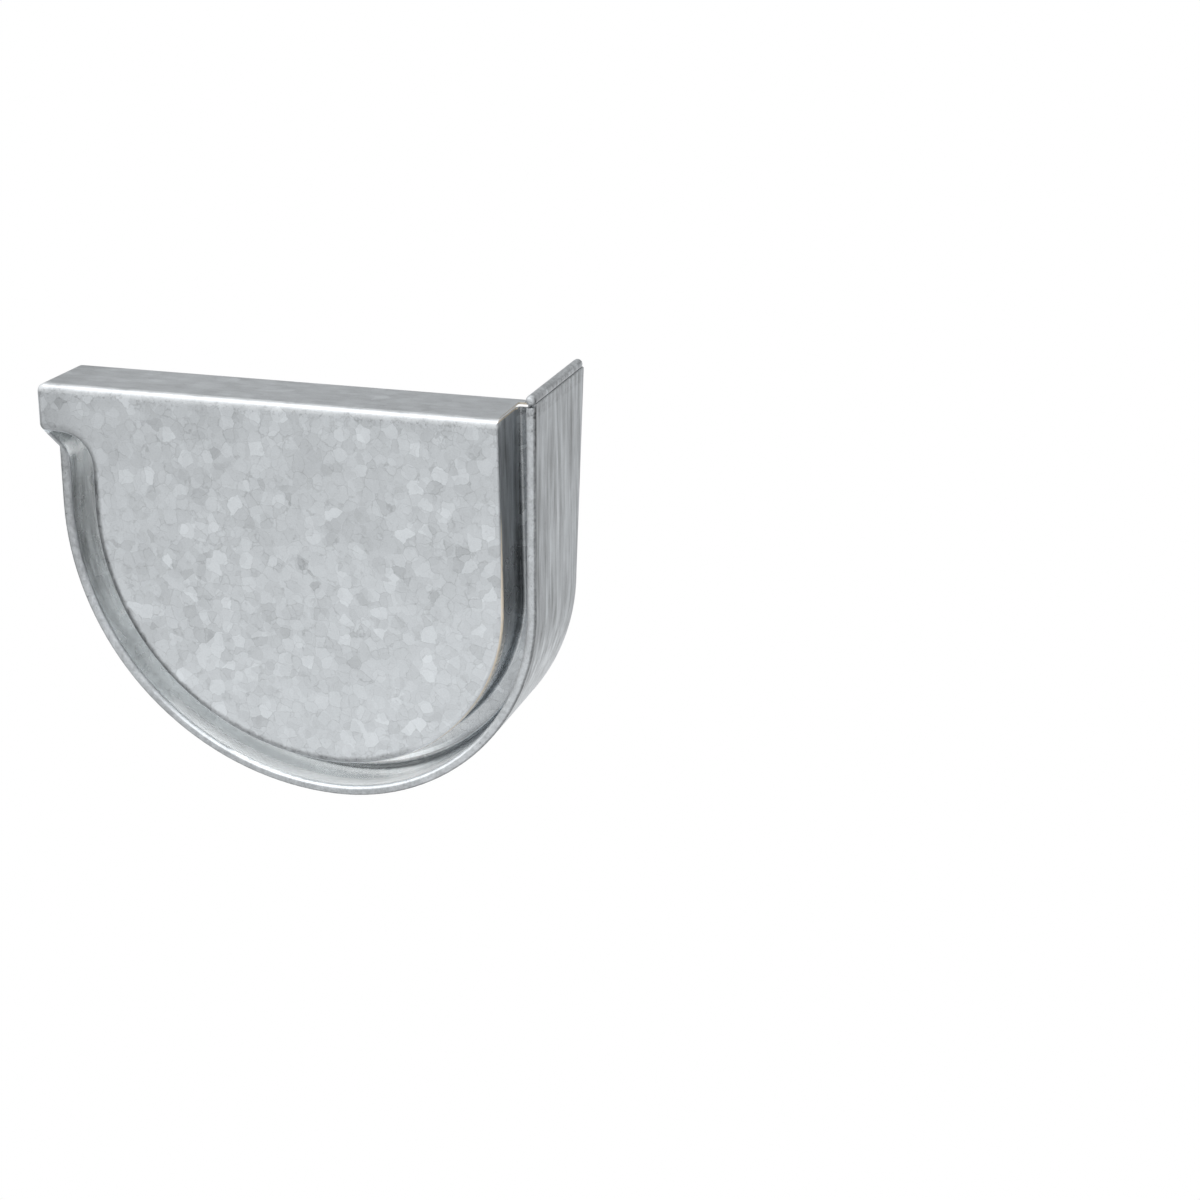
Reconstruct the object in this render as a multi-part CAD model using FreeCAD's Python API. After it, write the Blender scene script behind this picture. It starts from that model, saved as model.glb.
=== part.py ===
import FreeCAD, Part
import math
import os

# Gutter end cap, pressed and folded from one galvanised sheet.
# X runs from the front lip of the gutter (negative) to the wall behind it, with X = 0 on the outer face of
# the back wall. Y runs along the gutter, away from the front plate. Z is up, with Z = 0 on the top flange.
# Everything is drawn with the front plate at Y = 0, then moved so the origin is halfway along the flange.

# Sheet and bends, in millimetres
sheet = 0.55
plate_bend_back = 0.8
plate_bend_front = 2.3
plate_bend_top = 1.5
plate_bend_turn = 45.0
rim_bend_outer = 0.9
rim_bend_inner = 1.3
channel_bend = 1.6
edge_gap = 0.25

# Outline of the gutter that the cap closes
gutter_width = 146.0
gutter_height = 118.5
back_radius = 62.8
flange_depth = 40.3

# Rim and channel round the plate
rim_width = 2.8
rim_rise = 5.3
channel_width = 6.9
channel_depth = 17.0
throat_lean = 1.1
throat_drop = 0.05

# Front bead, top flange and its tab
bead_reach = 6.2
bead_height = 14.2
bead_corner = 2.2
lip_radius = 9.6
top_flange_depth = 24.9
flange_end_gap = 0.1
flange_end_lean = 0.3
tab_depth = 3.2
tab_clearance = 3.1

# End of the rim and channel under the bead
rim_curl_radius = 8.0
rim_curl_angle = 48.0
rim_curl_drop = 9.2
front_wall_gap = 0.7
ramp_angle = 60.0

# Back wall above the gutter, with its rolled edge
back_wall_depth = 47.2
roll_radius = 1.5
roll_end_angle = -28.0
ledge_start = 1.2

# Depth at which the plate and the rim pass into the channel walls
wall_start = 2.8

# Width left between the channel's walls where its far bends stop short of the point, in bend radii
bend_room = 3.0

# Distance within which two points are the same
same_place = 1e-4

# Sizes that follow from the ones above
plate_inset = rim_width + channel_width
bead_x = -(gutter_width + bead_reach)
lip_x = plate_inset - gutter_width - lip_radius
lip_z = -bead_height - lip_radius
curl_x = rim_width - gutter_width - rim_curl_radius
curl_z = -bead_height - rim_curl_drop
front_radius = min(gutter_width - back_radius, gutter_height + min(lip_z, curl_z))
back_centre_x = -back_radius
back_centre_z = back_radius - gutter_height
front_centre_x = front_radius - gutter_width
front_centre_z = front_radius - gutter_height
wall_reach = rim_curl_radius + sheet - rim_width
front_wall_top = curl_z + math.sqrt((rim_curl_radius - sheet) ** 2 - wall_reach ** 2) - front_wall_gap
rim_top = rim_rise - sheet - edge_gap
roll_z = rim_rise - sheet + roll_radius
lean = math.radians(throat_lean)
curl = math.radians(rim_curl_angle)
ramp = math.radians(ramp_angle)
wide = gutter_width / 3
far = 2 * gutter_width


drawing = FreeCAD.newDocument("cap")


def at(x, z, y=0.0):
    return FreeCAD.Vector(x, y, z)


def turn(x, z, radius, degrees):
    """Point at an angle on a circle in the front view."""
    angle = math.radians(degrees)
    return at(x + radius * math.cos(angle), z + radius * math.sin(angle))


def bow(x, z, radius, start, end):
    """Arc in the front view, from one angle to another."""
    middle = turn(x, z, radius, (start + end) / 2)
    return Part.Arc(turn(x, z, radius, start), middle, turn(x, z, radius, end)).toShape()


def chain(items):
    """Edges through points and arcs in order, with straight lines between them."""
    edges = []
    last = None
    for item in items:
        if isinstance(item, FreeCAD.Vector):
            start = item
            end = item
        else:
            start = item.firstVertex(True).Point
            end = item.lastVertex(True).Point
        if last is not None:
            if last.distanceToPoint(end) < last.distanceToPoint(start):
                start, end = end, start
            if last.distanceToPoint(start) > same_place:
                edges.append(Part.makeLine(last, start))
        if not isinstance(item, FreeCAD.Vector):
            edges.append(item)
        last = end
    return edges


def path(items):
    return Part.Wire(chain(items))


def closed(items):
    """Face inside the wire through points and arcs."""
    first = items[0]
    start = first if isinstance(first, FreeCAD.Vector) else first.firstVertex(True).Point
    return Part.Face(path(items + [start]))


def prism(face, start, end):
    """Solid from a face in the front view, between two depths."""
    solid = face.extrude(FreeCAD.Vector(0, end - start, 0))
    solid.translate(FreeCAD.Vector(0, start, 0))
    return solid


def box(low, high):
    size = high.sub(low)
    return Part.makeBox(size.x, size.y, size.z, low)


def middle(edge):
    return edge.valueAt((edge.FirstParameter + edge.LastParameter) / 2)


def rounded(solid, line, depth, radius):
    """Solid with the edges that follow a line at one depth rounded."""
    guide = line.copy()
    guide.translate(FreeCAD.Vector(0, depth, 0))
    edges = []
    for edge in solid.Edges:
        place = middle(edge)
        if abs(place.y - depth) < same_place and guide.distToShape(Part.Vertex(place))[0] < same_place:
            edges.append(edge)
    return solid.makeFillet(radius, edges)


def rounded_changing(solid, guides, depth, radii):
    """Solid with edges at one depth rounded by a radius that changes from joint to joint."""
    base = drawing.addObject("Part::Feature", "Block")
    base.Shape = solid
    shift = FreeCAD.Vector(0, depth, 0)
    edges = []
    for step, guide in enumerate(guides):
        start = guide.valueAt(guide.FirstParameter) + shift
        for number, edge in enumerate(base.Shape.Edges, 1):
            if middle(edge).distanceToPoint(middle(guide) + shift) < same_place:
                ends = radii[step:step + 2]
                if edge.valueAt(edge.FirstParameter).distanceToPoint(start) > same_place:
                    ends.reverse()
                edges.append((number, ends[0], ends[1]))
    fillet = drawing.addObject("Part::Fillet", "Fillet")
    fillet.Base = base
    fillet.Edges = edges
    drawing.recompute()
    return fillet.Shape.copy()


def gutter_run(inset, back_top, front_top):
    """Gutter outline at one inset, from the top of the back wall round to the front wall."""
    return [
        at(-inset, back_top),
        bow(back_centre_x, back_centre_z, back_radius - inset, 0, -90),
        bow(front_centre_x, front_centre_z, front_radius - inset, -90, -180),
        at(inset - gutter_width, front_top),
    ]


def rim_run(outset, height):
    """Inner side of the rim, from its top at the back round to its pointed end under the bead."""
    radius = rim_curl_radius - outset
    curl_end = turn(curl_x, curl_z, radius, rim_curl_angle)
    length = (sheet - bead_height - curl_end.z) / math.cos(curl)
    point = at(curl_end.x - length * math.sin(curl), sheet - bead_height)
    return gutter_run(rim_width - outset, height, curl_z)[:3] + [
        bow(curl_x, curl_z, radius, 0, rim_curl_angle),
        point,
    ]


def plate_side(inset, height):
    """Edge of the plate from its top right corner round to the bead, at one inset."""
    back = back_radius - plate_inset - inset
    foot = turn(back_centre_x, back_centre_z, back, throat_lean)
    climb = (height - foot.z) / math.cos(lean)
    return [
        at(foot.x - climb * math.sin(lean), height),
        bow(back_centre_x, back_centre_z, back, throat_lean, -plate_bend_turn),
        bow(back_centre_x, back_centre_z, back, -plate_bend_turn, -90),
        bow(front_centre_x, front_centre_z, front_radius - plate_inset - inset, -90, -180),
        bow(lip_x, lip_z, lip_radius + inset, 0, 90),
    ]


def plate_edge(inset):
    """Whole edge of the plate and bead at one inset."""
    corner = bead_corner - inset
    left = bead_x + bead_corner
    low = bead_corner - bead_height
    return plate_side(inset, -inset) + [
        bow(left, low, corner, 270, 180),
        bow(left, -bead_corner, corner, 180, 90),
    ]


def plate_body(inset):
    """Block inside the plate's edge, with bends that are tight at the back and soft at the front."""
    line = plate_edge(inset)
    block = prism(closed(line), inset, wall_start)
    guides = chain(line + [line[0]])
    sizes = [plate_bend_back] * 2 + [plate_bend_front] * (len(guides) - 1)
    sizes[-6:] = [plate_bend_top] * 6
    return rounded_changing(block, guides, inset, [size - inset for size in sizes])


def flange():
    """Top flange with its tab, and the outer side of the bead."""
    left = bead_x + bead_corner
    low = bead_corner - bead_height
    profile = closed([
        at(-tab_clearance, 0),
        bow(left, -bead_corner, bead_corner, 90, 180),
        at(bead_x, low),
        at(bead_x + sheet, low),
        bow(left, -bead_corner, bead_corner - sheet, 180, 90),
        at(-tab_clearance, -sheet),
    ])
    solid = prism(profile, wall_start, top_flange_depth)
    end = plate_side(sheet, 0)[0].x - flange_end_gap
    tab = top_flange_depth - tab_depth
    corners = [
        FreeCAD.Vector(end, wall_start, -bead_height),
        FreeCAD.Vector(end - flange_end_lean, tab, -bead_height),
        FreeCAD.Vector(0, tab, -bead_height),
        FreeCAD.Vector(0, wall_start, -bead_height),
    ]
    notch = Part.Face(Part.makePolygon(corners + [corners[0]]))
    return solid.cut(notch.extrude(FreeCAD.Vector(0, 0, far)))


def inside_gutter(inset, start):
    """Block inside the gutter outline."""
    return prism(closed(gutter_run(inset, rim_top, sheet - bead_height)), start, wall_start)


def outside_rim(outset, start):
    """Block outside the inner side of the rim."""
    frame = [
        at(-far, sheet - bead_height),
        at(-far, -far),
        at(far, -far),
        at(far, rim_top),
    ]
    return prism(closed(rim_run(outset, rim_top) + frame), start, wall_start)


def rim():
    """Crest of the rim and the start of its two sides, open at the back for the gutter's edge."""
    gutter_line = path(gutter_run(0, rim_top, sheet - bead_height))
    outer = rounded(inside_gutter(0, 0), gutter_line, 0, rim_bend_outer)
    inner = rounded(outside_rim(0, 0), path(rim_run(0, rim_top)), 0, rim_bend_inner)
    side = inner.cut(outside_rim(sheet, 0)).common(box(at(-far, curl_z), at(front_centre_x, 0, wall_start)))
    slot = inside_gutter(sheet, sheet).common(outside_rim(sheet, sheet))
    return outer.common(inner).fuse(side).cut(slot)


def channel_body(offset, height):
    """Block that fills the channel, with its far edges rounded and its pointed end sloped."""
    rim_side = rim_run(offset, height)
    far_side = plate_side(offset, height)
    depth = channel_depth + offset
    block = prism(closed(rim_side + far_side[::-1]), wall_start, depth)

    point = rim_run(0, height)[-1]
    along = FreeCAD.Vector(math.sin(curl), 0, -math.cos(curl))
    across = FreeCAD.Vector(math.cos(curl), 0, math.sin(curl)) * wide
    start = point + FreeCAD.Vector(0, wall_start + offset / math.cos(ramp), 0)
    slope_end = (channel_depth - channel_bend - wall_start) / math.tan(ramp)
    bend_end = bend_room * (channel_bend + sheet) * math.tan(curl)
    split = point + along * max(slope_end, bend_end)
    deep = FreeCAD.Vector(0, far, 0)
    left = split - across
    right = split + across
    side = Part.makePolygon([left, right, right + deep, left + deep, left])
    end = Part.Face(side).extrude(along * -far)
    lines = Part.Compound([path(rim_side), path(far_side)])
    body = rounded(block.cut(end), lines, depth, channel_bend + offset).fuse(block.common(end))

    slope = (along + FreeCAD.Vector(0, math.tan(ramp), 0)) * wide
    low = start - slope
    high = start + slope
    behind = Part.Face(Part.makePolygon([low, high, FreeCAD.Vector(low.x, high.y, low.z), low]))
    behind.translate(across * -1)
    return body.cut(behind.extrude(across * 2))


def channel():
    """Walls and floor of the channel, open at the front and at the top."""
    shell = channel_body(sheet, rim_top).cut(channel_body(0, rim_rise))
    depth = channel_depth + sheet
    low = at(-plate_inset - channel_width, -throat_drop)
    shell = shell.cut(box(low, at(-rim_width, rim_rise, depth)))
    return shell.cut(box(at(-rim_width, -throat_drop, channel_depth - channel_bend), at(0, rim_rise, depth)))


def walls():
    """Outer walls that lie against the gutter, with the back wall deeper towards its top."""
    line = gutter_run(0, rim_top, front_wall_top) + gutter_run(sheet, rim_top, front_wall_top)[::-1]
    band = prism(closed(line), wall_start, flange_depth)
    profile = Part.makePolygon([
        at(0, rim_top, wall_start),
        at(0, back_centre_z, wall_start),
        at(0, back_centre_z, flange_depth),
        at(0, rim_top, back_wall_depth),
        at(0, rim_top, wall_start),
    ])
    return band.fuse(Part.Face(profile).extrude(at(-sheet, 0)))


def rolled_edge():
    """Ledge on the back wall and the rolled edge above it, rounded shut at both ends."""
    section = closed([
        at(-sheet, rim_top - sheet),
        at(0, rim_top - sheet),
        bow(-sheet, rim_rise - sheet, sheet, 0, 90),
        at(-roll_radius, rim_rise),
        at(-roll_radius, rim_rise - sheet),
        at(-sheet, rim_rise - sheet),
    ])
    ledge = prism(section, ledge_start, back_wall_depth)
    front = at(-roll_radius, roll_z, roll_radius)
    back = at(-roll_radius, roll_z, back_wall_depth - roll_radius)
    length = back.y - front.y
    along = FreeCAD.Vector(0, 1, 0)
    tube = Part.makeCylinder(roll_radius, length, front, along)
    tube = tube.fuse([Part.makeSphere(roll_radius, front), Part.makeSphere(roll_radius, back)])
    hollow = Part.makeCylinder(roll_radius - sheet, length, front, along)
    seam = closed([
        at(-roll_radius, roll_z),
        turn(-roll_radius, roll_z, 2 * roll_radius, roll_end_angle),
        turn(-roll_radius, roll_z, 3 * roll_radius, (roll_end_angle - 90) / 2),
        at(-roll_radius, roll_z - 2 * roll_radius),
    ])
    gap = prism(seam, front.y, back.y)
    return tube.cut(hollow).cut(gap).fuse(ledge)


plate = plate_body(0).cut(plate_body(sheet))
cap = plate.fuse([flange(), rim(), channel(), walls(), rolled_edge()]).removeSplitter()
cap.translate(FreeCAD.Vector(0, -flange_depth / 2, 0))

os.makedirs("parts", exist_ok=True)
cap.exportStep("parts/end_cap.step")
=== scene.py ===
import math
from types import SimpleNamespace

import bpy
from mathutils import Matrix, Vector


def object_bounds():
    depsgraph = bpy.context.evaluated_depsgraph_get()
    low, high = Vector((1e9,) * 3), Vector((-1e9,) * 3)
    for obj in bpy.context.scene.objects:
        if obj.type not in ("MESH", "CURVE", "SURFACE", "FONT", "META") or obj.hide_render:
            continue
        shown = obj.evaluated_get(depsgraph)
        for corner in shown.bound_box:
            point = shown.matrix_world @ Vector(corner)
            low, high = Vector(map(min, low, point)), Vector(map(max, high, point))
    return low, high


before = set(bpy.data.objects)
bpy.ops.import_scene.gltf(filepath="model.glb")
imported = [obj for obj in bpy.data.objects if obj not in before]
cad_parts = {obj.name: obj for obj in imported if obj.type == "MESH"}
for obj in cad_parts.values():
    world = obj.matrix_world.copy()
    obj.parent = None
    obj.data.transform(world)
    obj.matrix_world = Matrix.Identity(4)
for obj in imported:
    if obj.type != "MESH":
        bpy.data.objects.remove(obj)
size_at_load = [list(corner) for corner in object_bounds()]
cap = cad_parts["end_cap"]

# The part's own sizes in millimetres, which place the wear, the cut edges and the painted light and shade
TO_MM = 1000.0
GUTTER_WIDTH = 146.0
BACK_RADIUS = 62.8
BEAD_HEIGHT = 14.2
LIP_RADIUS = 9.6
RIM_WIDTH = 2.8
CHANNEL_WIDTH = 6.9
CHANNEL_DEPTH = 17.0

# Places worked out from those sizes and from the frame
FRONT_Y = size_at_load[0][1] * TO_MM
LOWEST = size_at_load[0][2] * TO_MM
FRONT_RADIUS = GUTTER_WIDTH - BACK_RADIUS
BACK_CENTRE = (-BACK_RADIUS, LOWEST + BACK_RADIUS)
FRONT_CENTRE = (-BACK_RADIUS, LOWEST + FRONT_RADIUS)
PLATE_INSET = RIM_WIDTH + CHANNEL_WIDTH
CHANNEL_MIDDLE = RIM_WIDTH + CHANNEL_WIDTH / 2
LIP_CENTRE = (PLATE_INSET - LIP_RADIUS - GUTTER_WIDTH, -BEAD_HEIGHT - LIP_RADIUS)

# Zinc: its tint in the open and in the channel, how light it is, and the spangle's sizes in millimetres
ZINC_TINT = (0.955, 1.0, 1.035)
CHANNEL_TINT = (0.975, 1.0, 1.01)
ZINC_LIGHT = 0.635
CRYSTAL_SIZE = 3.7
FLAKE_SIZE = 5.0
FLAKE_SHIFT = (31.0, 17.0, 5.0)
WARP_SCALE = 0.5
WARP = (1.5, 1.5, 1.5)

# Share of the spangle that the rolling takes away on the top, the back wall and the crest
ROLLED_OUT = 0.65

# Colours that aren't grey zinc: bare steel, also used for a painted highlight down the plate's side, a
# painted highlight on the top bend, and a painted reflection with dark lines on the plate's lower back bend
CUT_EDGE_AND_HIGHLIGHT = (0.74, 0.66, 0.54)
TOP_HIGHLIGHT_COLOUR = (0.82, 0.84, 0.86)
FOLD_REFLECTION_COLOUR = (0.92, 0.88, 0.80)
FOLD_REFLECTION_LINES = (0.40, 0.37, 0.33)

# What each pattern or place adds to the zinc's lightness; names side by side are multiplied. The wear and
# stain tables also hold painted light and shade.
SPANGLE = {"crystal": 0.078, "joint": -0.095, "flake": 0.050, "ring": -0.035, "mottle": 0.020}
FINE = {"cloud": 0.020, "grain": 0.035, "speck": -0.055}
WEAR_AND_PAINTED_LIGHT = {
    "along on_top": 0.075,
    "scratch on_top": -0.10,
    "down on_back": 0.30,
    "dark on_back": -0.22,
    # painted shade: the back wall darker next to the rim's crest
    "near_rim on_back": -0.10,
    "cloud on_back": 0.05,
    # painted light: everything facing the back made lighter
    "on_back": 0.10,
}
STAINS_AND_PAINTED_LIGHT = {
    "crest": -0.22,
    # painted light: the crest lighter at the back
    "crest at_back": 0.12,
    "crest crazed": 0.10,
    # painted light: the crest lighter at the left side
    "crest at_left": 0.08,
    "crest notch": -0.30,
    # painted shade: a dark line along the crest's outer edge
    "crest brim": -0.22,
    "curled": -0.06,
    # painted light and shade in the channel: lighter overall and at its low back, darker at its back, its
    # high front and low down away from the back; the stain row is patchy staining
    "channel": 0.27,
    "channel at_back": -0.50,
    "channel low_back": 0.38,
    "channel high_front": -0.15,
    "channel stain off_back": -0.22,
    "channel low off_back": -0.06,
    # painted shade on the channel's floor: darker near the back foot, by the rim and at the low back
    "floor off_back back_foot": -0.25,
    "floor off_back rim_side": -0.16,
    "floor low_back": -0.27,
    "glint": 0.40,
    # painted highlight: a light band on the rim's inner bend low down
    "shoulder": 0.36,
    # painted light: the channel lighter under the bead's lip
    "under_lip_light": 0.24,
    "gleam": 0.26,
    # painted highlight: a light line along the plate's edge under the lip
    "lip_highlight": 0.30,
    # painted shade: a dark band with darker ticks on the plate's bend in front
    "bend": -0.30,
    "bend tick": -0.12,
    # painted highlight: a light line on the side of the plate's bend
    "fringe_highlight": 0.45,
    # painted shade: dark ticks on the plate just under the top bend
    "brow tick": -0.16,
    # painted light and shade: darker towards the top and lighter towards the bottom
    "upper": -0.03,
    "lower": 0.02,
    "roll": -0.06,
    "roll crazed": 0.10,
    "bead_side": -0.08,
}

# Places that are painted over the zinc in turn: how much of each, and its colour. The first three are a
# painted highlight and a painted reflection; the last is cut edges and a painted highlight.
COATS = (
    # painted highlight: a light band along the top bend
    ("top_highlight", 0.45, TOP_HIGHLIGHT_COLOUR),
    # painted reflection: a beige band with dark lines on the plate's bend at its lower back
    ("folded", 0.85, FOLD_REFLECTION_COLOUR),
    ("folded scored", 0.70, FOLD_REFLECTION_LINES),
    ("bare_and_highlight", 1.0, CUT_EDGE_AND_HIGHLIGHT),
)

# The same kind of table for the other sockets; heights are in millimetres
BASE_METALLIC = 0.85
METALLIC = {
    "crest": -0.30,
    "lit": -0.45,
    "shoulder crest": 0.15,
    "folded": -0.70,
    "top_highlight": -0.35,
    "fringe_highlight": -0.30,
    "bare_and_highlight": -0.75,
}
BASE_ROUGHNESS = 0.40
ROUGHNESS = {"crystal": 0.03, "crest": 0.10, "channel": -0.14, "channel low": -0.08, "mottle": 0.02}
HEIGHT = {"wave": 0.010, "grain": 0.0009, "joint": -0.002}


def add(tree, kind, **values):
    node = tree.nodes.new(kind)
    for name, value in values.items():
        setattr(node, name, value)
    return node


def plug(tree, value, socket):
    """Feeds a socket with a number, a tuple or another node's output."""
    if isinstance(value, bpy.types.NodeSocket):
        tree.links.new(value, socket)
    else:
        socket.default_value = value


def maths(tree, operation, *values, clamp=False):
    node = add(tree, "ShaderNodeMath", operation=operation, use_clamp=clamp)
    for socket, value in zip(node.inputs, values):
        plug(tree, value, socket)
    return node.outputs[0]


def vector(tree, operation, *values):
    node = add(tree, "ShaderNodeVectorMath", operation=operation)
    for socket, value in zip(node.inputs, values):
        plug(tree, value, socket)
    return node.outputs[0]


def split(tree, value):
    node = add(tree, "ShaderNodeSeparateXYZ")
    plug(tree, value, node.inputs[0])
    return node.outputs


def ramp(tree, value, low, high, start, end):
    """Smooth change from start to end as value goes from low to high."""
    node = add(tree, "ShaderNodeMapRange", interpolation_type="SMOOTHSTEP")
    plug(tree, value, node.inputs["Value"])
    for name, number in (("From Min", low), ("From Max", high), ("To Min", start), ("To Max", end)):
        plug(tree, number, node.inputs[name])
    return node.outputs["Result"]


def rise(tree, value, low, high):
    return ramp(tree, value, low, high, 0.0, 1.0)


def fall(tree, value, low, high):
    return ramp(tree, value, low, high, 1.0, 0.0)


def band(tree, value, middle, half, soft):
    """1 within half of middle, falling to 0 over soft."""
    away = maths(tree, "ABSOLUTE", maths(tree, "SUBTRACT", value, middle))
    return fall(tree, away, half, half + soft)


def product(tree, *masks):
    result = masks[0]
    for mask in masks[1:]:
        result = maths(tree, "MULTIPLY", result, mask)
    return result


def named(tree, masks, names):
    """The product of the masks whose names stand side by side."""
    return product(tree, *(masks[name] for name in names.split()))


def total(tree, masks, amounts, start=0.0):
    """Adds to start what each row of a table of amounts brings."""
    for names, amount in amounts.items():
        start = maths(tree, "MULTIPLY_ADD", named(tree, masks, names), amount, start)
    return start


def blend(tree, mask, first, second):
    node = add(tree, "ShaderNodeMix", data_type="RGBA")
    plug(tree, mask, node.inputs["Factor"])
    plug(tree, first, node.inputs["A"])
    plug(tree, second, node.inputs["B"])
    return node.outputs["Result"]


def noise(tree, coords, wave, detail=2.0, roughness=0.5, stretch=None):
    """Noise from about -1 to 1, with waves in millimetres; a stretch below 1 draws it out along an axis."""
    if stretch:
        coords = vector(tree, "MULTIPLY", coords, stretch)
    node = add(tree, "ShaderNodeTexNoise")
    plug(tree, coords, node.inputs["Vector"])
    node.inputs["Scale"].default_value = 1.0 / wave
    node.inputs["Detail"].default_value = detail
    node.inputs["Roughness"].default_value = roughness
    return maths(tree, "MULTIPLY_ADD", node.outputs["Fac"], 4.0, -2.0)


def flakes(tree, coords, size, small=0.34, large=0.62):
    """Rounded zinc flakes: a tone from -1 to 1 inside each, and a ring of 1 round its border."""
    cells = add(tree, "ShaderNodeTexVoronoi")
    plug(tree, coords, cells.inputs["Vector"])
    cells.inputs["Scale"].default_value = 1.0 / size
    parts = add(tree, "ShaderNodeSeparateColor")
    plug(tree, cells.outputs["Color"], parts.inputs[0])
    radius = maths(tree, "MULTIPLY_ADD", parts.outputs[1], large - small, small)
    gap = maths(tree, "SUBTRACT", radius, cells.outputs["Distance"])
    inside = rise(tree, gap, -0.02, 0.05)
    ring = band(tree, gap, 0.0, 0.008, 0.03)
    tone = maths(tree, "MULTIPLY_ADD", parts.outputs[0], 2.0, -1.0)
    return maths(tree, "MULTIPLY", tone, inside), ring


def mosaic(tree, coords, size):
    """Crystals that fill the sheet: a tone from -1 to 1 for each, and a thin broken joint between them."""
    cells = add(tree, "ShaderNodeTexVoronoi")
    edges = add(tree, "ShaderNodeTexVoronoi", feature="DISTANCE_TO_EDGE")
    for node in (cells, edges):
        plug(tree, coords, node.inputs["Vector"])
        node.inputs["Scale"].default_value = 1.0 / size
        node.inputs["Randomness"].default_value = 0.8
    parts = add(tree, "ShaderNodeSeparateColor")
    plug(tree, cells.outputs["Color"], parts.inputs[0])
    tone = maths(tree, "MULTIPLY_ADD", parts.outputs[0], 0.8, -0.4)
    tone = maths(tree, "ADD", tone, rise(tree, parts.outputs[1], 0.80, 0.95))
    tone = maths(tree, "SUBTRACT", tone, ramp(tree, parts.outputs[2], 0.86, 0.97, 0.0, 0.7))
    joint = fall(tree, edges.outputs["Distance"], 0.01, 0.05)
    return tone, product(tree, joint, rise(tree, noise(tree, coords, 3.0), -0.6, 0.6))


def side_reach(tree, x, z, centre, turn):
    """Distance of a point from one of the outline's centres, counted sideways above that centre."""
    across = maths(tree, "MULTIPLY", maths(tree, "SUBTRACT", x, centre[0]), turn)
    across = maths(tree, "MAXIMUM", across, 0.0)
    drop = maths(tree, "MINIMUM", maths(tree, "SUBTRACT", z, centre[1]), 0.0)
    squares = maths(tree, "MULTIPLY_ADD", across, across, maths(tree, "MULTIPLY", drop, drop))
    return maths(tree, "SQRT", squares)


def past_lip(tree, x, z):
    """How much further in a point lies where the plate's edge turns out under the bead."""
    across = maths(tree, "MAXIMUM", maths(tree, "SUBTRACT", x, LIP_CENTRE[0]), 0.0)
    climb = maths(tree, "MAXIMUM", maths(tree, "SUBTRACT", z, LIP_CENTRE[1]), 0.0)
    squares = maths(tree, "MULTIPLY_ADD", across, across, maths(tree, "MULTIPLY", climb, climb))
    return maths(tree, "SUBTRACT", maths(tree, "SQRT", squares), across)


def measures(tree):
    """A point's place and direction, its depth behind the plate's front, and its inset from the outline."""
    source = add(tree, "ShaderNodeTexCoord")
    coords = vector(tree, "MULTIPLY", source.outputs["Object"], (TO_MM, TO_MM, TO_MM))
    x, y, z = split(tree, coords)
    facing_x, facing_y, facing_z = split(tree, source.outputs["Normal"])
    from_back = maths(tree, "SUBTRACT", BACK_RADIUS, side_reach(tree, x, z, BACK_CENTRE, 1.0))
    from_front = maths(tree, "SUBTRACT", FRONT_RADIUS, side_reach(tree, x, z, FRONT_CENTRE, -1.0))
    from_front = maths(tree, "ADD", maths(tree, "MAXIMUM", from_front, 0.1), past_lip(tree, x, z))
    return SimpleNamespace(
        coords=coords,
        x=x,
        z=z,
        facing_x=facing_x,
        facing_y=facing_y,
        facing_z=facing_z,
        depth=maths(tree, "SUBTRACT", y, FRONT_Y),
        from_back=from_back,
        inset=maths(tree, "MINIMUM", from_back, from_front),
    )


def patterns(tree, coords):
    """The spangle, the streaks, stains and ticks of rolling and handling, and the lines of a painted
    reflection.
    """
    warp = add(tree, "ShaderNodeTexNoise")
    plug(tree, coords, warp.inputs["Vector"])
    warp.inputs["Scale"].default_value = WARP_SCALE
    bent = vector(tree, "MULTIPLY_ADD", warp.outputs["Color"], WARP, coords)
    crystal, joint = mosaic(tree, bent, CRYSTAL_SIZE)
    flake, ring = flakes(tree, vector(tree, "ADD", bent, FLAKE_SHIFT), FLAKE_SIZE)
    scratch = noise(tree, coords, 0.9, 3.0, 0.6, stretch=(0.05, 1.0, 1.0))
    dark = noise(tree, coords, 0.9, 3.0, 0.6, stretch=(1.0, 1.0, 0.06))
    stain = noise(tree, coords, 1.0, 3.0, 0.7, stretch=(0.45, 0.5, 0.8))
    scored = noise(tree, coords, 0.9, stretch=(1.0, 0.25, 1.0))
    return {
        "crystal": crystal,
        "joint": joint,
        "flake": flake,
        "ring": ring,
        "cloud": noise(tree, coords, 24.0, 3.0, 0.6),
        "mottle": noise(tree, coords, 5.0, 2.0, 0.6),
        "grain": noise(tree, coords, 0.4, 2.0, 0.7),
        "speck": rise(tree, noise(tree, coords, 1.0, 2.0, 0.6), 0.5, 0.9),
        "along": noise(tree, coords, 3.2, 4.0, 0.65, stretch=(0.30, 1.0, 1.0)),
        "scratch": rise(tree, scratch, 0.3, 1.0),
        "down": noise(tree, coords, 2.6, 3.0, 0.6, stretch=(1.0, 1.0, 0.10)),
        "dark": rise(tree, dark, 0.4, 1.1),
        "crazed": noise(tree, coords, 1.3, 2.0, 0.7),
        "stain": rise(tree, stain, 0.5, 1.2),
        "notch": rise(tree, noise(tree, coords, 1.6, 2.0, 0.7), 0.75, 1.1),
        "tick": rise(tree, noise(tree, coords, 0.9, 2.0, 0.6), 0.1, 0.8),
        "scored": rise(tree, scored, -0.2, 0.6),
        "wave": noise(tree, coords, 3.2),
    }


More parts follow.
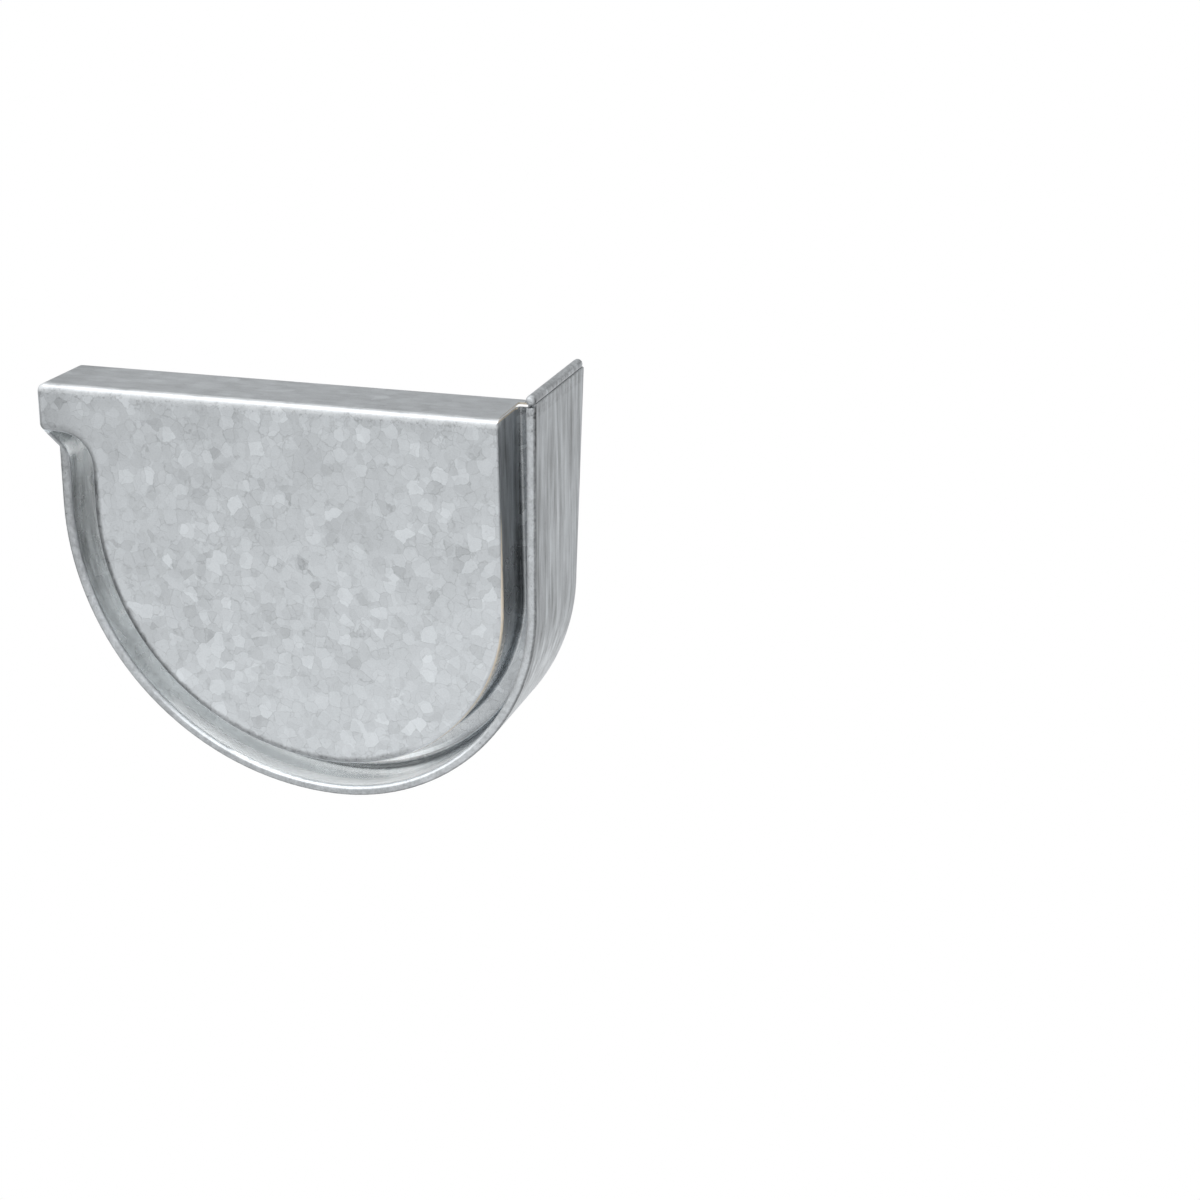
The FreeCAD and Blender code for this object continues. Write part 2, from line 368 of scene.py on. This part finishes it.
def regions(tree, at):
    """The cap's broad parts. Every place here and below is a mask from 0 to 1."""
    at_back = rise(tree, at.x, -48.0, -20.0)
    return {
        "at_back": at_back,
        "off_back": fall(tree, at.x, -48.0, -20.0),
        "low_back": product(tree, at_back, fall(tree, at.z, -80.0, -50.0)),
        "back_foot": rise(tree, at.x, -72.0, -50.0),
        "high_front": product(tree, fall(tree, at.x, -100.0, -80.0), rise(tree, at.z, -80.0, -45.0)),
        "at_left": product(tree, fall(tree, at.x, -112.0, -96.0), rise(tree, at.z, -98.0, -84.0)),
        "bead_side": fall(tree, at.x, -146.0, -136.0),
        "low": fall(tree, at.z, -105.0, -88.0),
        "lower": fall(tree, at.z, -100.0, -70.0),
        "upper": rise(tree, at.z, -70.0, -8.0),
        "on_top": rise(tree, at.facing_z, 0.8, 0.97),
        "on_back": rise(tree, at.facing_x, 0.8, 0.97),
        "near_rim": fall(tree, at.depth, 2.0, 12.0),
        "brow": product(tree, rise(tree, at.z, -5.0, -2.0), fall(tree, at.facing_y, -0.97, -0.9)),
        "roll": product(tree, rise(tree, at.z, 1.0, 1.8), rise(tree, at.x, -6.0, -5.0)),
    }


def rim(tree, at):
    """The rim's crest, which curls in under the bead, and its outer brim, where a line of shade is painted.
    """
    shallow = fall(tree, at.depth, 0.9, 1.5)
    straight = product(tree, fall(tree, at.inset, RIM_WIDTH - 0.2, RIM_WIDTH + 0.1), shallow)
    curled = product(tree, fall(tree, at.inset, PLATE_INSET - 0.7, PLATE_INSET - 0.3), shallow)
    curled = product(tree, curled, rise(tree, at.z, -26.0, -24.0), fall(tree, at.x, -130.0, -125.0))
    return {
        "crest": maths(tree, "MAXIMUM", straight, curled),
        "curled": curled,
        "brim": fall(tree, at.inset, 0.25, 0.75),
    }


def channel(tree, at, low, off_back):
    """The channel round the plate, and the masks of the highlights painted on its lines and bends."""
    groove = band(tree, at.inset, CHANNEL_MIDDLE, CHANNEL_WIDTH / 2 + 0.25, 0.2)
    groove = product(tree, groove, rise(tree, at.depth, 1.0, 2.0))
    floor = product(tree, groove, rise(tree, at.depth, CHANNEL_DEPTH - 1.6, CHANNEL_DEPTH - 0.4))
    by_bead = fall(tree, at.x, -125.0, -115.0)
    gleam = product(tree, band(tree, at.z, -19.5, 0.7, 2.0), by_bead, groove)
    lip_highlight = product(tree, band(tree, at.inset, PLATE_INSET + 0.4, 0.18, 0.10), by_bead)
    lip_highlight = product(tree, lip_highlight, rise(tree, at.z, -34.0, -27.0), fall(tree, at.depth, 2.0, 2.4))
    shoulder = product(tree, band(tree, at.inset, RIM_WIDTH + 0.05, 0.60, 0.3), low)
    shoulder = product(tree, shoulder, fall(tree, at.depth, 5.0, 8.0))
    return {
        "channel": groove,
        "floor": floor,
        "rim_side": fall(tree, at.inset, RIM_WIDTH + 1.0, RIM_WIDTH + 1.6),
        "under_lip_light": product(tree, rise(tree, at.z, -34.0, -22.0), by_bead, groove),
        "gleam": gleam,
        "lip_highlight": lip_highlight,
        "shoulder": shoulder,
        "glint": product(tree, floor, band(tree, at.inset, 4.9, 0.55, 0.35), off_back),
        "lit": maths(tree, "MAXIMUM", gleam, product(tree, shoulder, groove)),
    }


def bends(tree, at, off_back):
    """The plate's bend: a painted reflection with dark lines at its lower back, a painted highlight at its
    side, painted shade in front and a painted highlight on top.
    """
    folded = product(tree, band(tree, at.inset, PLATE_INSET, 0.35, 0.1), rise(tree, at.depth, 0.9, 1.4))
    folded = product(tree, folded, fall(tree, at.depth, 3.6, 5.6))
    folded = product(tree, folded, fall(tree, at.z, -72.0, -58.0), rise(tree, at.x, -58.0, -44.0))

    fringe_highlight = product(tree, band(tree, at.inset, PLATE_INSET + 0.2, 0.5, 0.2), off_back)
    fringe_highlight = product(tree, fringe_highlight, band(tree, at.depth, 1.6, 0.85, 0.15))

    height = maths(tree, "MULTIPLY_ADD", noise(tree, at.coords, 2.6, 3.0), 0.30, at.z)
    top_highlight = product(tree, rise(tree, height, -2.7, -1.5), fall(tree, at.depth, 2.2, 3.1))
    top_highlight = product(tree, top_highlight, fall(tree, at.x, -10.8, -10.4))
    top_highlight = product(tree, top_highlight, ramp(tree, noise(tree, at.coords, 3.4, 3.0, 0.6), -1.2, 0.4, 0.2, 1.0))

    ragged = maths(tree, "MULTIPLY_ADD", noise(tree, at.coords, 2.2), 0.35, at.inset)
    bend = product(tree, fall(tree, ragged, 11.3, 12.8), fall(tree, at.depth, 2.4, 2.8))
    bend = product(tree, bend, rise(tree, at.inset, PLATE_INSET - 0.2, PLATE_INSET + 0.1))
    bend = product(tree, bend, fall(tree, at.x, -46.0, -34.0))
    bend = product(tree, bend, ramp(tree, at.z, -30.0, -20.0, 1.0, 0.35))
    return {"folded": folded, "fringe_highlight": fringe_highlight, "top_highlight": top_highlight, "bend": bend}


def bare_edges_and_highlight(tree, at):
    """Broken lines of bare steel on the edges that were cut after the zinc went on, and a painted highlight
    down the plate's side edge.
    """
    # painted highlight: a light line down the plate's side edge, in the bare steel colour
    side = band(tree, at.from_back, PLATE_INSET + 0.15, 0.30, 0.15)
    side = product(tree, side, fall(tree, at.depth, 0.9, 1.3))
    side = product(tree, side, rise(tree, at.x, -34.0, -26.0), fall(tree, at.z, -1.2, -0.6))
    on_flange = rise(tree, at.z, -0.75, -0.6)
    end = product(tree, rise(tree, at.facing_x, 0.6, 0.8), band(tree, at.x, -10.8, 0.9, 0.2))
    end = product(tree, end, on_flange, fall(tree, at.depth, 21.5, 22.0))
    tab = product(tree, fall(tree, at.facing_y, -0.8, -0.6), rise(tree, at.depth, 19.0, 20.0))
    tab = product(tree, tab, on_flange, rise(tree, at.x, -12.0, -11.0))
    bare_and_highlight = maths(tree, "MAXIMUM", maths(tree, "MAXIMUM", side, end), tab)
    return product(tree, bare_and_highlight, ramp(tree, noise(tree, at.coords, 2.0), -1.4, 0.2, 0.55, 1.0))


def zinc_colour(tree, masks):
    rolled = maths(tree, "MAXIMUM", maths(tree, "MAXIMUM", masks["on_top"], masks["on_back"]), masks["crest"])
    light = total(tree, masks, SPANGLE)
    light = maths(tree, "MULTIPLY", light, maths(tree, "MULTIPLY_ADD", rolled, -ROLLED_OUT, 1.0))
    light = total(tree, masks, {**FINE, **WEAR_AND_PAINTED_LIGHT, **STAINS_AND_PAINTED_LIGHT}, light)
    light = maths(tree, "ADD", light, ZINC_LIGHT)
    tint = blend(tree, named(tree, masks, "channel off_back"), (*ZINC_TINT, 1.0), (*CHANNEL_TINT, 1.0))
    colour = vector(tree, "MULTIPLY", tint, light)
    for names, amount, paint in COATS:
        cover = maths(tree, "MULTIPLY", named(tree, masks, names), amount)
        colour = blend(tree, cover, colour, (*paint, 1.0))
    return colour


def galvanised(name):
    """Hot-dip zinc with a soft spangle, rolled streaks on the folds and bare steel on the cut edges, with
    light, shade, highlights and a reflection painted into its colour.
    """
    material = bpy.data.materials.new(name)
    material.use_nodes = True
    tree = material.node_tree
    tree.nodes.clear()
    metal = add(tree, "ShaderNodeBsdfPrincipled")
    output = add(tree, "ShaderNodeOutputMaterial")
    tree.links.new(metal.outputs[0], output.inputs["Surface"])

    at = measures(tree)
    masks = {**patterns(tree, at.coords), **regions(tree, at), **rim(tree, at)}
    masks.update(channel(tree, at, masks["low"], masks["off_back"]))
    masks.update(bends(tree, at, masks["off_back"]))
    masks["bare_and_highlight"] = bare_edges_and_highlight(tree, at)

    metallic = maths(tree, "ADD", total(tree, masks, METALLIC), BASE_METALLIC, clamp=True)
    rough = total(tree, masks, ROUGHNESS, BASE_ROUGHNESS)
    bump = add(tree, "ShaderNodeBump")
    bump.inputs["Distance"].default_value = 1.0 / TO_MM
    plug(tree, total(tree, masks, HEIGHT), bump.inputs["Height"])
    plug(tree, zinc_colour(tree, masks), metal.inputs["Base Color"])
    plug(tree, metallic, metal.inputs["Metallic"])
    plug(tree, rough, metal.inputs["Roughness"])
    plug(tree, bump.outputs[0], metal.inputs["Normal"])
    return material


zinc = galvanised("galvanised_steel")
cap.data.materials.clear()
cap.data.materials.append(zinc)


# Studio: light grey all round, white behind the part and in front of it, darker at its two sides.
# Each pair is a heading in degrees from +X towards +Y, and how light it is there.
HEADINGS = (
    (-180, 0.35), (-165, 0.15), (-140, 0.60), (-108, 0.97), (-72, 0.90), (-15, 0.30),
    (36, 0.38), (72, 0.42), (87, 1.0), (158, 1.0), (175, 0.50), (180, 0.35),
)
LOW_FRONT = 1.36
HIGH_FRONT = 0.58
UNDERFOOT = 0.45
REAR_SKY = 0.33
FRONT_SKY = 1.3


def studio():
    world = bpy.data.worlds.new("studio")
    bpy.context.scene.world = world
    world.use_nodes = True
    tree = world.node_tree
    tree.nodes.clear()
    x, y, z = split(tree, add(tree, "ShaderNodeTexCoord").outputs["Generated"])

    # The walls by heading, and in front of the part also by height
    heading = maths(tree, "ARCTAN2", y, x)
    turn = maths(tree, "MULTIPLY_ADD", heading, 0.5 / math.pi, 0.5)
    walls = add(tree, "ShaderNodeValToRGB")
    plug(tree, turn, walls.inputs[0])
    stops = walls.color_ramp.elements
    while len(stops) > 1:
        stops.remove(stops[0])
    stops[0].position = 0.0
    for number, (degrees, strength) in enumerate(HEADINGS):
        stop = stops.new(degrees / 360.0 + 0.5) if number else stops[0]
        stop.color = (strength, strength, strength, 1.0)
    low = ramp(tree, z, -0.42, -0.22, LOW_FRONT, HIGH_FRONT)
    low = maths(tree, "MULTIPLY", low, ramp(tree, z, -0.85, -0.48, UNDERFOOT, 1.0))
    low = blend(tree, rise(tree, y, -0.5, 0.0), low, (1.0, 1.0, 1.0, 1.0))
    level = vector(tree, "MULTIPLY", walls.outputs[0], low)

    # The sky, lighter towards the front
    sky = ramp(tree, maths(tree, "SUBTRACT", z, y), -0.30, 0.35, REAR_SKY, FRONT_SKY)
    shade = blend(tree, rise(tree, z, -0.08, 0.10), level, sky)
    ground = add(tree, "ShaderNodeBackground")
    plug(tree, shade, ground.inputs["Color"])
    output = add(tree, "ShaderNodeOutputWorld")
    tree.links.new(ground.outputs[0], output.inputs["Surface"])


studio()


# The part's middle, a soft lamp over its front and a floor below it, in metres and watts
MIDDLE = Vector((-0.075, 0.0, -0.055))
LAMP_PLACE = Vector((-0.33, -0.30, 0.75))
LAMP_WIDTH = 0.6
LAMP_LENGTH = 0.4
LAMP_POWER = 2.0
FLOOR_PLACE = (-0.075, 0.0, -0.7)
FLOOR_RADIUS = 0.6
FLOOR_COLOUR = (0.8, 0.8, 0.8, 1.0)
FLOOR_ROUGHNESS = 0.9


def top_lamp():
    data = bpy.data.lights.new("top", "AREA")
    data.shape = "RECTANGLE"
    data.energy = LAMP_POWER
    data.size = LAMP_WIDTH
    data.size_y = LAMP_LENGTH
    item = bpy.data.objects.new("top", data)
    bpy.context.scene.collection.objects.link(item)
    item.location = LAMP_PLACE
    item.rotation_euler = (MIDDLE - LAMP_PLACE).to_track_quat("-Z", "Y").to_euler()
    item.visible_camera = False


def pale_floor():
    bpy.ops.mesh.primitive_circle_add(
        vertices=96, radius=FLOOR_RADIUS, fill_type="NGON", location=FLOOR_PLACE
    )
    disc = bpy.context.object
    disc.name = "floor"
    material = bpy.data.materials.new("pale_floor")
    material.use_nodes = True
    surface = material.node_tree.nodes["Principled BSDF"]
    surface.inputs["Base Color"].default_value = FLOOR_COLOUR
    surface.inputs["Roughness"].default_value = FLOOR_ROUGHNESS
    disc.data.materials.append(material)


top_lamp()
pale_floor()


# The photo's camera: its lens in millimetres, its place in metres and its turn in degrees
SENSOR_WIDTH = 36.0
LENS = 71.793
CAMERA_PLACE = (0.192086, -0.625309, 0.170834)
CAMERA_TURN = (70.746, -0.317, 16.086)
NEAREST = 0.01


def photo_camera():
    data = bpy.data.cameras.new("camera")
    data.sensor_width = SENSOR_WIDTH
    data.sensor_fit = "HORIZONTAL"
    data.lens = LENS
    data.clip_start = NEAREST
    camera = bpy.data.objects.new("camera", data)
    bpy.context.scene.collection.objects.link(camera)
    camera.location = CAMERA_PLACE
    camera.rotation_euler = [math.radians(angle) for angle in CAMERA_TURN]
    bpy.context.scene.camera = camera


photo_camera()

bpy.context.scene.view_settings.view_transform = "Standard"
